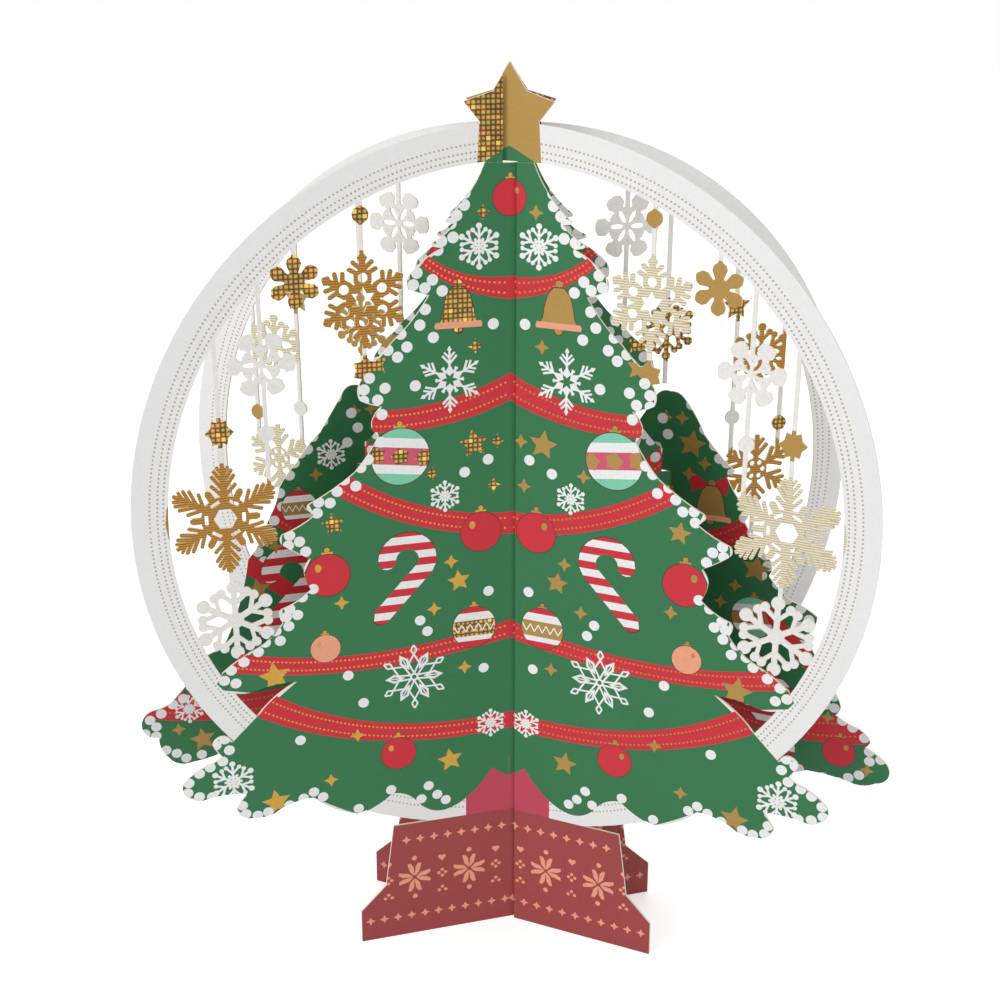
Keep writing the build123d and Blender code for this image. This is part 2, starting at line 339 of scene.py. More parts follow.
def ring_card(inks, finish):
    """White ring with three rows of small pressed dots near its inner edge."""
    material, shader = new_material("ring_card", sheen=0.05)
    tree = material.node_tree
    grain = place_group(material, "card_grain", Colour=opaque(inks.ring), Fibre=finish.fibre,
                        Mottle=0.05)
    rows = [place_group(material, "dot_row", Radius=radius * RING, Spacing=RING_DOT_STEP,
                        Size=RING_DOT) for radius in RING_DOT_ROWS]
    dots = maths(tree, "MAXIMUM", rows[0].outputs[0], maths(
        tree, "MAXIMUM", rows[1].outputs[0], rows[2].outputs[0]))
    finish_surface(material, shader, grain, finish.relief)
    dotted = mixed(tree, dots, grain.outputs["Colour"], opaque(ink_colour(176, 160, 128)))
    tree.links.new(dotted, shader.inputs["Base Color"])
    return material


GLUE_HALF = 0.00003          # half the thickness of the glue line


def cut_edge(inks, finish):
    """Cream core of the card at its cut edges, with the glue line between its two plies."""
    material, shader = new_material("cut_edge")
    tree = material.node_tree
    grain = place_group(material, "card_grain", Colour=opaque(inks.core),
                        Fibre=finish.fibre * 0.6, Mottle=0.1)
    finish_surface(material, shader, grain, finish.relief)
    apart = tree.nodes.new("ShaderNodeSeparateXYZ")
    tree.links.new(object_place(tree), apart.inputs[0])
    glue = maths(tree, "LESS_THAN", maths(tree, "ABSOLUTE", apart.outputs["Y"]), GLUE_HALF)
    dark = mixed(tree, maths(tree, "MULTIPLY", glue, 0.35), grain.outputs["Colour"],
                 opaque(ink_colour(150, 130, 100)))
    tree.links.new(dark, shader.inputs["Base Color"])
    return material


INKS = ("pine", "ribbon", "stand", "trunk", "peach", "mint", "pink", "snow", "white_flake", "shade")


def make_materials(inks, finish):
    """Every finish the card uses, by the name the print gives it."""
    for make in (make_card_grain, make_foil_squares, make_foil_lines, make_dot_row):
        make()
    found = {name: printed(name + "_ink", getattr(inks, name), finish) for name in INKS}
    found["ring"] = ring_card(inks, finish)
    found["edge"] = cut_edge(inks, finish)
    found["gold_matt"] = printed("matt_gold_ink", inks.gold, finish, metallic=0.3)
    found["gold_bright"] = printed("bright_gold_ink", inks.bright, finish, metallic=0.3)
    found["gold_squares"] = foil_of_squares("sparkling_gold", inks.foil, finish)
    found["flake_bright"] = foil_of_lines("lined_gold", inks.foil, ink_colour(132, 90, 34), finish, 0.55)
    # the pale colours of this lined foil are a painted reflection of the white surroundings on the gold
    # foil
    found["flake_pale"] = foil_of_lines("pale_lined_gold", inks.painted_reflection_foil, ink_colour(186, 170, 134),
                                        finish, 0.15)
    return found


# ---------------------------------------------------------------- print shapes, fractions of RING

def disc(x, z, radius, count=20, stretch=1.0):
    return [(x + radius * cos(2 * pi * k / count), z + stretch * radius * sin(2 * pi * k / count))
            for k in range(count)]


def star_shape(x, z, radius, points=5, waist=0.45, turn=0.0):
    return [(x + reach * sin(turn + pi * k / points), z + reach * cos(turn + pi * k / points))
            for k, reach in enumerate((radius, radius * waist) * points)]


def bar(x1, z1, x2, z2, width):
    """Straight stroke from one point to another."""
    along = Vector((x2 - x1, z2 - z1)).normalized()
    side = Vector((-along.y, along.x)) * width / 2
    return [(x1 - side.x, z1 - side.y), (x2 - side.x, z2 - side.y),
            (x2 + side.x, z2 + side.y), (x1 + side.x, z1 + side.y)]


def curve_points(start, bend, end, count=24):
    """Points of a quadratic curve."""
    points = []
    for k in range(count + 1):
        t = k / count
        points.append(tuple((1 - t) ** 2 * a + 2 * t * (1 - t) * b + t * t * c
                            for a, b, c in zip(start, bend, end)))
    return points


# finish of the small foil motifs, of the big hanging flakes, and of the specks and lower motifs
FOIL_SHEET = ("gold_squares", "flake_bright", "gold_bright")
# the matt sheet's hanging flakes carry the painted reflection of the white surroundings
MATT_SHEET = ("gold_matt", "flake_pale", "gold_matt")
SQUARES_FOOT = 1.25          # motifs below this height are plain bright gold
SNOW_DOT = 0.0150
STITCH_DOT = 0.0031
STITCH_STEP = 0.0118


class Print:
    """Inked shapes of one sheet, the last on top. A shape may be kept within another."""

    def __init__(self, foil, flake, gold):
        self.marks = []
        self.foil = foil
        self.flake = flake
        self.gold = gold
        self.side = 1

    def fill(self, ink, points, within=None):
        self.marks.append((ink, [(self.side * x, z) for x, z in points], within))
        return len(self.marks) - 1

    def arms(self, ink, x, z, strokes, turn):
        """The same strokes on all six arms: along1, off1, along2, off2, width."""
        for k in range(6):
            angle = turn + 2 * pi * k / 6
            c, s = cos(angle), sin(angle)
            for a1, o1, a2, o2, width in strokes:
                for flip in ((1, -1) if o1 or o2 else (1,)):
                    self.fill(ink, bar(x + a1 * c - flip * o1 * s, z + a1 * s + flip * o1 * c,
                                       x + a2 * c - flip * o2 * s, z + a2 * s + flip * o2 * c, width))

    def dots_round(self, ink, x, z, reach, radius, turn):
        for k in range(6):
            angle = turn + 2 * pi * k / 6
            self.fill(ink, disc(x + reach * cos(angle), z + reach * sin(angle), radius, 10))

    def snow(self, *places):
        for x, z in places:
            self.fill("snow", disc(x, z, SNOW_DOT, 16))

    def diamond(self, ink, x, z, radius=0.021):
        self.fill(ink, star_shape(x, z, radius, 4, 0.45))

    def dot_flake(self, x, z, r):
        """Six arms with a ball on every tip and two on every arm."""
        turn = pi / 6
        self.arms("snow", x, z, [
            (0, 0, r * 0.84, 0, r * 0.11), (r * 0.40, 0, r * 0.70, r * 0.27, r * 0.10),
            (r * 0.14, 0, r * 0.33, r * 0.19, r * 0.09)], turn)
        self.dots_round("snow", x, z, r * 0.87, r * 0.135, turn)
        for tilt in (-0.38, 0.38):
            self.dots_round("snow", x, z, r * 0.76, r * 0.10, turn + tilt)

    def leaf_flake(self, x, z, r):
        """Arms with small leaves, barbs and diamond ends."""
        turn = pi / 6
        for k in range(6):
            angle = turn + pi * k / 3
            c, s = cos(angle), sin(angle)
            leaf = [(0.10, 0), (0.30, 0.10), (0.48, 0), (0.30, -0.10)]
            end = [(0.82, 0), (0.92, 0.07), (1.04, 0), (0.92, -0.07)]
            for shape in (leaf, end):
                self.fill("snow", [(x + r * (a * c - o * s), z + r * (a * s + o * c)) for a, o in shape])
        self.arms("snow", x, z, [
            (r * 0.4, 0, r * 0.85, 0, r * 0.07), (r * 0.50, 0, r * 0.74, r * 0.22, r * 0.07),
            (r * 0.66, 0, r * 0.84, r * 0.16, r * 0.06),
            (r * 0.16, 0, r * 0.36, r * 0.25, r * 0.06)], turn)

    def ornate_flake(self, x, z, r):
        """Large open flake: petals in outline, lantern ends and leaves between."""
        for k in range(6):
            angle = pi / 2 + pi * k / 3
            c, s = cos(angle), sin(angle)

            def there(a, o):
                return (x + r * (a * c - o * s), z + r * (a * s + o * c))

            lines = [((0.12, 0), (0.45, 0.16)), ((0.45, 0.16), (0.74, 0)), ((0.12, 0), (0.45, -0.16)),
                     ((0.45, -0.16), (0.74, 0)), ((0.74, 0), (0.88, 0.09)), ((0.88, 0.09), (1.04, 0)),
                     ((0.74, 0), (0.88, -0.09)), ((0.88, -0.09), (1.04, 0))]
            for start, end in lines:
                self.fill("snow", bar(*there(*start), *there(*end), r * 0.055))
            half = angle + pi / 6
            c, s = cos(half), sin(half)
            self.fill("snow", [there(0.28, 0), there(0.60, 0.15), there(0.88, 0), there(0.60, -0.15)])
            self.fill("pine", [there(0.44, 0.02), there(0.60, 0.07), there(0.72, 0.015)])
            self.fill("pine", [there(0.44, -0.02), there(0.60, -0.07), there(0.72, -0.015)])
        self.fill("snow", star_shape(x, z, r * 0.2, 6, 0.6))
        self.fill("pine", disc(x, z, r * 0.07, 8))

    def ribbon(self, top, bottom):
        """Red ribbon between two curves, stitched with two rows of gold dots."""
        upper, lower = curve_points(*top), curve_points(*bottom)
        band = self.fill("ribbon", upper + lower[::-1])
        length = sum((Vector(b) - Vector(a)).length for a, b in zip(upper, upper[1:]))
        count = max(4, int(length / STITCH_STEP))
        for share in (0.27, 0.73):
            rows = curve_points(*(tuple(a + (b - a) * share for a, b in zip(up, low))
                                  for up, low in zip(top, bottom)), count=count)
            for x, z in rows[1:]:
                self.fill(self.gold, disc(x, z, STITCH_DOT, 6), band)

    def cap(self, x, z, size=0.016):
        self.fill("shade", disc(x, z + size * 0.8, size * 0.62, 10))
        self.fill(self.gold, disc(x, z + size * 0.8, size * 0.5, 10))
        self.fill(self.gold, bar(x - size, z, x + size, z, size * 0.85))

    def ball(self, x, z, r, ink="ribbon"):
        self.cap(x, z + r, r * 0.26)
        self.fill("shade", disc(x, z, r * 1.035, 28))
        self.fill(ink, disc(x, z, r, 28))
        self.fill(self.gold, disc(x + r * 0.42, z + r * 0.38, r * 0.15, 10, 1.3))

    def striped_ball(self, x, z, r):
        self.cap(x, z + r, r * 0.2)
        self.fill("shade", disc(x, z, r * 1.03, 32))
        shape = self.fill("mint", disc(x, z, r, 32))
        tilt = 0.14
        for low, high, ink in ((-0.62, 0.66, "snow"), (-0.30, 0.32, "pink")):
            band = [(x - r * 1.1, z + r * (low - tilt)), (x + r * 1.1, z + r * (low + tilt)),
                    (x + r * 1.1, z + r * (high + tilt)), (x - r * 1.1, z + r * (high - tilt))]
            self.fill(ink, band, shape)
        for shift in (-0.82, 0.0, 0.82):
            star = star_shape(x + shift * r, z + shift * r * tilt, r * 0.34, 5, 0.72, 0.2)
            self.fill(self.foil, star, shape)

    def zigzag_ball(self, x, z, r):
        self.cap(x, z + r, r * 0.2)
        self.fill("shade", disc(x, z, r * 1.03, 28))
        shape = self.fill("ribbon", disc(x, z, r, 28))
        for low, high, ink in ((-0.66, 0.72, "snow"), (-0.42, 0.34, self.foil)):
            self.fill(ink, [(x - r, z + low * r), (x + r, z + low * r), (x + r, z + high * r),
                            (x - r, z + high * r)], shape)
        corners = [(x + r * (-0.95 + 0.19 * k), z + r * (-0.2 if k % 2 else 0.16)) for k in range(11)]
        for start, end in zip(corners, corners[1:]):
            self.fill("snow", bar(*start, *end, r * 0.055), shape)

    def bell(self, x, z, r):
        self.fill(self.foil, disc(x, z + r * 1.0, r * 0.16, 10))
        self.fill("shade", disc(x, z - r * 0.86, r * 0.22, 12))
        self.fill(self.foil, disc(x, z - r * 0.86, r * 0.18, 12))
        side = [(-0.82, -0.66), (0.82, -0.66), (0.68, -0.40), (0.60, 0.10), (0.46, 0.58), (0.22, 0.86),
                (-0.22, 0.86), (-0.46, 0.58), (-0.60, 0.10), (-0.68, -0.40)]
        self.fill("shade", [(x + a * r * 1.05, z + b * r * 1.05) for a, b in side])
        self.fill(self.foil, [(x + a * r, z + b * r) for a, b in side])
        brim = [(-1.0, -0.70), (-0.97, -0.82), (0.97, -0.82), (1.0, -0.70), (0.94, -0.56),
                (-0.94, -0.56)]
        self.fill("peach", [(x + a * r, z + b * r) for a, b in brim])

    def candy_cane(self, x, z, size):
        """Crook at the top, straight stick leaning outwards, level stripes."""
        half = 0.175
        crook = [(-0.04 + 0.40 * cos(radians(k)), 0.38 + 0.39 * sin(radians(k)))
                 for k in range(210, -1, -15)]
        spine = [(0.50, -0.76)] + crook
        left, right = [], []
        for k, point in enumerate(spine):
            before, after = Vector(spine[max(k - 1, 0)]), Vector(spine[min(k + 1, len(spine) - 1)])
            along = (after - before).normalized()
            left.append((point[0] - along.y * half, point[1] + along.x * half))
            right.append((point[0] + along.y * half, point[1] - along.x * half))
        tip, foot = spine[-1], spine[0]
        end = [(tip[0] + half * cos(radians(k)), tip[1] + half * sin(radians(k)))
               for k in (-30, -60, -90, -120, -150)]
        heel = [(foot[0] + half * cos(radians(k)), foot[1] + half * sin(radians(k)))
                for k in (-120, -90, -60, -30)]
        rim = left + end + right[::-1] + heel[::-1]
        self.fill("shade", [(x + a * size * 1.02, z + b * size * 1.02) for a, b in rim])
        shape = self.fill("snow", [(x + a * size, z + b * size) for a, b in rim])
        for k in range(7):
            low = -1.00 + 0.31 * k
            stripe = [(-0.8, low), (0.9, low), (0.9, low + 0.155), (-0.8, low + 0.155)]
            self.fill("ribbon", [(x + a * size, z + b * size) for a, b in stripe], shape)

    def nordic_flake(self, x, z, r):
        """Knitted star of four pairs of leaning lozenges, with a dot above and below."""
        for k in range(4):
            angle = pi / 4 + pi * k / 2
            c, s = cos(angle), sin(angle)
            for flip in (1, -1):
                leaf = [(0.10, 0.05), (0.50, 0.07), (1.04, 0.40), (0.90, 0.56), (0.60, 0.50),
                        (0.12, 0.12)]
                self.fill("peach", [(x + r * (a * c - flip * o * s), z + r * (a * s + flip * o * c))
                                    for a, o in leaf])
        for up in (-1.42, 1.42):
            self.fill("peach", disc(x, z + up * r, r * 0.17, 10))

    def heart(self, x, z, r):
        for shift in (-0.45, 0.45):
            self.fill("peach", disc(x + shift * r, z + 0.2 * r, r * 0.52, 12))
        self.fill("peach", [(x - r * 0.94, z + r * 0.05), (x, z - r), (x + r * 0.94, z + r * 0.05)])


TREE_RIM = [
    (0.066, 2.252), (0.165, 2.116), (0.146, 2.104), (0.202, 2.060), (0.178, 2.044), (0.263, 1.982),
    (0.268, 1.945), (0.214, 1.926), (0.311, 1.812), (0.401, 1.707), (0.402, 1.662), (0.344, 1.641),
    (0.367, 1.614), (0.355, 1.561), (0.422, 1.467), (0.545, 1.391), (0.532, 1.358), (0.620, 1.313),
    (0.622, 1.286), (0.548, 1.238), (0.567, 1.200), (0.550, 1.148), (0.630, 1.101), (0.629, 1.061),
    (0.697, 0.997), (0.798, 0.935), (0.815, 0.905), (0.800, 0.884), (0.728, 0.866), (0.601, 0.882),
    (0.713, 0.793), (0.786, 0.722), (0.810, 0.744), (0.839, 0.722), (0.815, 0.683), (0.858, 0.660),
    (0.935, 0.617), (0.920, 0.575), (0.871, 0.550), (0.756, 0.552), (0.790, 0.515), (0.752, 0.470),
    (0.686, 0.474),
]
SCALLOPS = [
    ((0.571, 0.512), (0.500, 0.462), (0.444, 0.436)), ((0.444, 0.436), (0.392, 0.448), (0.345, 0.488)),
    ((0.345, 0.488), (0.296, 0.484), (0.272, 0.445)), ((0.272, 0.445), (0.235, 0.400), (0.190, 0.408)),
    ((0.190, 0.408), (0.120, 0.420), (0.050, 0.525)), ((0.050, 0.525), (0.030, 0.505), (0.000, 0.490)),
]
STAND_RIM = [(0, 0.378), (0.345, 0.378), (0.372, 0.181), (0.448, 0.105), (0.46, -0.01), (0, -0.01)]
STAR_RIM = [(0, 2.51), (0.045, 2.430), (0.125, 2.406), (0.080, 2.352), (0.086, 2.250),
            (0.078, 2.250), (0, 2.292)]

# what hangs in the window of a big sheet: finish, place along the sheet, height, reach
FRONT_HANGINGS = (
    ("flake", 0.384, 1.925, 0.126), ("flake", 0.7625, 1.375, 0.152), ("foil", 0.385, 2.138, 0.024),
    ("foil", 0.383, 1.742, 0.040), ("foil", 0.555, 1.979, 0.070), ("foil", 0.763, 1.607, 0.040),
)
REAR_HANGINGS = (
    ("foil", 0.440, 1.790, 0.088), ("foil", 0.640, 1.842, 0.044), ("flake", 0.720, 1.705, 0.088),
    ("flake", 0.726, 1.364, 0.108), ("foil", 0.789, 1.497, 0.023),
)


def print_hangings(sheet, hangings):
    """Foils of the hanging flakes, balls and stars; the rest stay white."""
    for kind, x, z, r in hangings:
        sheet.fill(getattr(sheet, kind), disc(x, z, r, 24))


def print_tree(sheet):
    """One half of a big sheet, drawn on its right side."""
    sheet.fill("trunk", [(-0.001, 0.56), (0.130, 0.56), (0.130, 0.37), (-0.001, 0.37)])
    hem = [point for start, bend, end in SCALLOPS for point in curve_points(start, bend, end, 8)]
    sheet.fill("pine", [(0, 2.30), (0.07, 2.30)] + TREE_RIM + hem)
    sheet.ball(0, 2.164, 0.046)
    sheet.ribbon(((0, 1.963), (0.13, 1.955), (0.215, 2.028)),
                 ((0, 1.902), (0.15, 1.925), (0.235, 2.004)))
    sheet.ribbon(((0, 1.705), (0.20, 1.612), (0.372, 1.634)),
                 ((0, 1.630), (0.18, 1.552), (0.372, 1.574)))
    sheet.ribbon(((0, 1.313), (0.25, 1.318), (0.450, 1.470)),
                 ((0, 1.249), (0.27, 1.266), (0.480, 1.416)))
    sheet.ribbon(((0, 0.989), (0.42, 0.892), (0.745, 0.985)),
                 ((0, 0.935), (0.44, 0.846), (0.790, 0.936)))
    sheet.ribbon(((0, 0.700), (0.40, 0.664), (0.664, 0.850)),
                 ((0, 0.648), (0.42, 0.612), (0.714, 0.790)))
    sheet.dot_flake(0.082, 2.044, 0.060)
    sheet.bell(0.138, 1.888, 0.064)
    sheet.leaf_flake(0.163, 1.699, 0.088)
    sheet.striped_ball(0.299, 1.500, 0.078)
    sheet.dot_flake(0.180, 1.377, 0.045)
    sheet.ball(0.081, 1.264, 0.057)
    sheet.candy_cane(0.292, 1.152, 0.140)
    sheet.ball(0.504, 1.185, 0.060)
    sheet.zigzag_ball(0.102, 0.980, 0.062)
    sheet.ball(0.519, 0.970, 0.041, "peach")
    sheet.ornate_flake(0.275, 0.850, 0.094)
    sheet.dot_flake(0.055, 0.672, 0.045)
    sheet.ball(0.325, 0.615, 0.050)
    for x, z, r in ((0.357, 1.757, 0.034), (0.099, 1.518, 0.042), (0.484, 1.329, 0.033),
                    (0.144, 1.126, 0.033), (0.660, 0.905, 0.045), (0.175, 0.570, 0.038),
                    (0.675, 0.515, 0.042)):
        gold = sheet.foil if z > SQUARES_FOOT else sheet.gold
        sheet.fill(gold, star_shape(x, z, r, 5, 0.48, 0.12))
    for x, z in ((0.073, 2.130), (0.093, 1.784), (0.035, 1.520), (0.215, 1.445), (0.045, 1.395),
                 (0.165, 1.185), (0.215, 1.050), (0.470, 1.100), (0.130, 0.860), (0.440, 0.690),
                 (0.520, 0.560)):
        sheet.diamond(sheet.foil if z > SQUARES_FOOT else sheet.gold, x, z)
    sheet.dot_flake(0.790, 0.600, 0.064)
    sheet.snow(
        (0.045, 1.840), (0.205, 1.815), (0.255, 1.690), (0.060, 1.470), (0.125, 1.440), (0.385, 1.500),
        (0.060, 1.085), (0.255, 1.020), (0.235, 0.985), (0.075, 0.850), (0.420, 0.790), (0.460, 0.880),
        (0.240, 0.495), (0.215, 0.462), (0.262, 0.455), (0.190, 0.440), (0.350, 0.500), (0.600, 0.700),
        (0.120, 2.150), (0.140, 2.125), (0.155, 2.105), (0.118, 2.180), (0.180, 2.062), (0.150, 2.070),
        (0.190, 2.040), (0.245, 1.985), (0.255, 1.955), (0.225, 1.945), (0.205, 1.965), (0.180, 1.935),
        (0.225, 1.890), (0.240, 1.850), (0.290, 1.830), (0.275, 1.795), (0.300, 1.770), (0.325, 1.790),
        (0.375, 1.720), (0.390, 1.690), (0.392, 1.660), (0.355, 1.660), (0.335, 1.690), (0.345, 1.620),
        (0.350, 1.545), (0.405, 1.480), (0.450, 1.450), (0.420, 1.430), (0.520, 1.395), (0.525, 1.365),
        (0.490, 1.390), (0.470, 1.420), (0.600, 1.310), (0.605, 1.282), (0.575, 1.290), (0.560, 1.260),
        (0.545, 1.150), (0.575, 1.130), (0.610, 1.100),
        (0.620, 1.078), (0.590, 1.080), (0.615, 1.050), (0.650, 1.040), (0.680, 1.010), (0.640, 1.010),
        (0.700, 0.985), (0.740, 0.960), (0.775, 0.940), (0.795, 0.912), (0.765, 0.900),
        (0.805, 0.735), (0.830, 0.720), (0.795, 0.700), (0.815, 0.668), (0.850, 0.655),
        (0.880, 0.640), (0.910, 0.615), (0.915, 0.585), (0.885, 0.568), (0.850, 0.562),
        (0.770, 0.520), (0.762, 0.492), (0.730, 0.482), (0.700, 0.488),
        (0.570, 0.530), (0.545, 0.510), (0.445, 0.455), (0.600, 0.515), (0.640, 0.500))


def print_star(sheet):
    sheet.fill(sheet.foil, STAR_RIM)


def print_stand(sheet):
    sheet.fill("stand", STAND_RIM)
    for k in range(8):
        sheet.diamond("peach", 0.022 + 0.041 * k, 0.324, 0.014)
    for k in range(11):
        sheet.diamond("peach", 0.012 + 0.041 * k, 0.065, 0.014)
    for x in (0.122, 0.287):
        sheet.nordic_flake(x, 0.194, 0.046)
    for x in (0.040, 0.204, 0.366):
        sheet.heart(x, 0.248, 0.012)
        for a, b in ((-1, 0), (1, 0), (0, 1), (0, -1)):
            sheet.fill("peach", disc(x + a * 0.010, 0.195 + b * 0.010, 0.0055, 8))
        for a, b in ((-1, -0.5), (1, -0.5), (0, 0.6)):
            sheet.fill("peach", disc(x + a * 0.010, 0.140 + b * 0.010, 0.0055, 8))


SMALL_SNOW = (
    (0.060, 1.585), (0.100, 1.520), (0.130, 1.477), (0.146, 1.442), (0.166, 1.432), (0.185, 1.405),
    (0.200, 1.370), (0.230, 1.320), (0.225, 1.280), (0.250, 1.240), (0.290, 1.180), (0.300, 1.150),
    (0.285, 1.120), (0.330, 1.100), (0.360, 1.060), (0.400, 1.040), (0.425, 1.010), (0.400, 0.985),
    (0.410, 0.930), (0.440, 0.870), (0.480, 0.830), (0.510, 0.790), (0.515, 0.755), (0.490, 0.760),
    (0.540, 0.720), (0.570, 0.705), (0.605, 0.680), (0.638, 0.664), (0.622, 0.640), (0.655, 0.622),
    (0.625, 0.610), (0.600, 0.560), (0.571, 0.545), (0.545, 0.525), (0.500, 0.530), (0.430, 0.540),
    (0.360, 0.540), (0.270, 0.535),
)


def print_small_tree(sheet):
    """The two halves of a small tree, each with its own motifs."""
    for sheet.side in (-1, 1):
        sheet.ribbon(((0, 1.225), (0.14, 1.190), (0.260, 1.320)),
                     ((0, 1.165), (0.16, 1.130), (0.290, 1.265)))
        sheet.ribbon(((0, 0.800), (0.30, 0.640), (0.600, 0.760)),
                     ((0, 0.735), (0.32, 0.570), (0.680, 0.680)))
        sheet.ornate_flake(0.120, 0.640, 0.070)
        sheet.ball(0.085, 0.940, 0.050)
        for x, z in ((0.200, 0.880), (0.420, 0.880), (0.300, 0.560)):
            sheet.diamond(sheet.foil, x, z)
        sheet.snow(*SMALL_SNOW)
    sheet.side = -1
    sheet.fill("ribbon", [(0.186, 1.020), (0.205, 0.975), (0.365, 1.110), (0.340, 1.165)])
    sheet.candy_cane(0.215, 1.020, 0.150)
    sheet.dot_flake(0.081, 1.421, 0.045)
    sheet.zigzag_ball(0.178, 1.272, 0.050)
    sheet.dot_flake(0.526, 0.684, 0.046)
    for x, z, r in ((0.307, 1.033, 0.038), (0.493, 0.580, 0.038)):
        sheet.fill(sheet.foil, star_shape(x, z, r, 5, 0.48, 0.12))
    for x, z in ((0.011, 1.542), (0.126, 1.366), (0.560, 0.622), (0.250, 1.160)):
        sheet.diamond(sheet.foil, x, z)
    sheet.side = 1
    for tip in (-1, 1):
        sheet.fill("ribbon", [(0.122, 1.362), (0.122 + tip * 0.058, 1.402),
                              (0.122 + tip * 0.050, 1.335)])
    sheet.bell(0.129, 1.308, 0.060)
    sheet.striped_ball(0.267, 0.987, 0.062)
    sheet.ball(0.538, 0.620, 0.046)
    sheet.candy_cane(0.330, 0.700, 0.130)
    sheet.fill("ribbon", [(0.289, 1.055), (0.310, 0.985), (0.470, 0.810), (0.520, 0.830)])
    for x, z, r in ((0.067, 1.473, 0.042), (0.267, 1.135, 0.042)):
        sheet.fill(sheet.foil, star_shape(x, z, r, 5, 0.48, 0.12))
    for x, z in ((0.036, 1.545), (0.106, 1.422), (0.062, 1.386), (0.211, 1.076), (0.172, 1.020),
                 (0.499, 0.722), (0.620, 0.580)):
        sheet.diamond(sheet.foil, x, z)
    sheet.snow((-0.020, 1.537), (-0.003, 1.493), (-0.034, 1.452))


def big_print(metals, front_side):
    """Print of a whole big sheet: ring, window, both halves of the tree, star and stand."""
    sheet = Print(*metals)
    sheet.fill("ring", disc(0, RING_MIDDLE, 1.002, 240))
    sheet.fill("white_flake", disc(0, RING_MIDDLE, RING_INNER, 240))
    sheet.side = front_side
    print_hangings(sheet, FRONT_HANGINGS)
    sheet.side = -front_side
    print_hangings(sheet, REAR_HANGINGS)
    for sheet.side in (-1, 1):
        print_tree(sheet)
        print_star(sheet)
        print_stand(sheet)
    return sheet


def small_print():
    """Print of a whole small tree."""
    sheet = Print(*MATT_SHEET)
    sheet.fill("pine", [(-0.8, 0.4), (0.8, 0.4), (0.8, 1.7), (-0.8, 1.7)])
    print_small_tree(sheet)
    return sheet


# ---------------------------------------------------------------- sheets

def sheet_plane(turn, across=0.0, line_turn=0.0):
    """Frame of a sheet: x along it, y through it, z up; it may stand on another sheet's line."""
    c, s = cos(turn), sin(turn)
    return Matrix((
        (c, -s, 0, across * RING * cos(line_turn)),
        (s, c, 0, across * RING * sin(line_turn)),
        (0, 0, 1, 0),
        (0, 0, 0, 1)))


def cut_outline(node, plane):
    """Loops of the cut sheet's front face in millimetres, the outside first, and half its thickness."""
    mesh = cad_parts[node].data
    mesh.calc_loop_triangles()
    points = [plane.inverted() @ vertex.co for vertex in mesh.vertices]
    front = min(point.y for point in points)
    keys = [(round(p.x * MM, 4), round(p.z * MM, 4)) for p in points]
    steps = set()
    for triangle in mesh.loop_triangles:
        corners = list(triangle.vertices)
        if max(points[k].y for k in corners) > front + 1e-5:
            continue
        ring = [keys[k] for k in corners]
        steps.update(zip(ring, ring[1:] + ring[:1]))
    following = {a: b for a, b in steps if (b, a) not in steps and a != b}
    loops = []
    while following:
        start, here = following.popitem()
        loop = [start]
        while here != start:
            loop.append(here)
            here = following.pop(here)
        loops.append(loop)
    loops.sort(key=lambda loop: -abs(loop_area(loop)))
    return loops, -front


def loop_area(loop):
    return sum(a[0] * b[1] - b[0] * a[1] for a, b in zip(loop, loop[1:] + loop[:1])) / 2


def within_shape(places, shape):
    """Which places lie within a closed shape."""
    corners = np.array(shape)
    low, high = corners.min(0), corners.max(0)
    near = np.nonzero(((places >= low) & (places <= high)).all(1))[0]
    x, z = places[near].T
    hit = np.zeros(len(near), bool)
    for (ax, az), (bx, bz) in zip(corners, np.roll(corners, -1, 0)):
        if az != bz:
            hit ^= ((az > z) != (bz > z)) & (x < (bx - ax) * (z - az) / (bz - az) + ax)
    found = np.zeros(len(places), bool)
    found[near] = hit
    return found


def printed_sheet(name, node, plane, print_, finishes):
    """Card of the cut outline with its print on both faces and its core at the edges."""
    loops, half = cut_outline(node, plane)
    shapes = [[(x * RING * MM, z * RING * MM) for x, z in shape] for _, shape, _ in print_.marks]
    points, edges = [], []
    for loop in loops + shapes:
        first, size = len(points), len(loop)
        edges += [(first + k, first + (k + 1) % size) for k in range(size)]
        points += [Vector(point) for point in loop]
    flat, _, parts, _, _, _ = delaunay_2d_cdt(points, edges, [], 0, SNAP, False)
    corners = np.array(parts)
    middles = np.array([tuple(point) for point in flat])[corners].mean(1)
    card = within_shape(middles, loops[0])
    for loop in loops[1:]:
        card &= ~within_shape(middles, loop)
    corners, middles = corners[card], middles[card]
    paint = np.array(["white_flake"] * len(corners), dtype=object)
    covers = []
    for (ink, _, kept_within), shape in zip(print_.marks, shapes):
        cover = within_shape(middles, shape)
        if kept_within is not None:
            cover &= covers[kept_within]
        covers.append(cover)
        paint[cover] = ink
    inside, inks = corners.tolist(), list(paint)
    steps = {(a, b) for part in inside for a, b in zip(part, part[1:] + part[:1])}
    rim = [(a, b) for a, b in steps if (b, a) not in steps]
    rim.sort()
    count = len(flat)
    vertices = [(p.x / MM, -half, p.y / MM) for p in flat] + [(p.x / MM, half, p.y / MM) for p in flat]
    polygons = inside + [[k + count for k in reversed(part)] for part in inside]
    polygons += [[a, a + count, b + count, b] for a, b in rim]
    used = sorted(set(inks)) + ["edge"]
    mesh = bpy.data.meshes.new(name)
    mesh.from_pydata(vertices, [], polygons)
    for ink in used:
        mesh.materials.append(finishes[ink])
    numbers = [used.index(ink) for ink in inks]
    mesh.polygons.foreach_set("material_index", numbers * 2 + [len(used) - 1] * len(rim))
    mesh.validate()
    piece = bpy.data.objects.new(name, mesh)
    bpy.context.scene.collection.objects.link(piece)
    piece.matrix_world = plane
    drop_loose(mesh)
    return piece


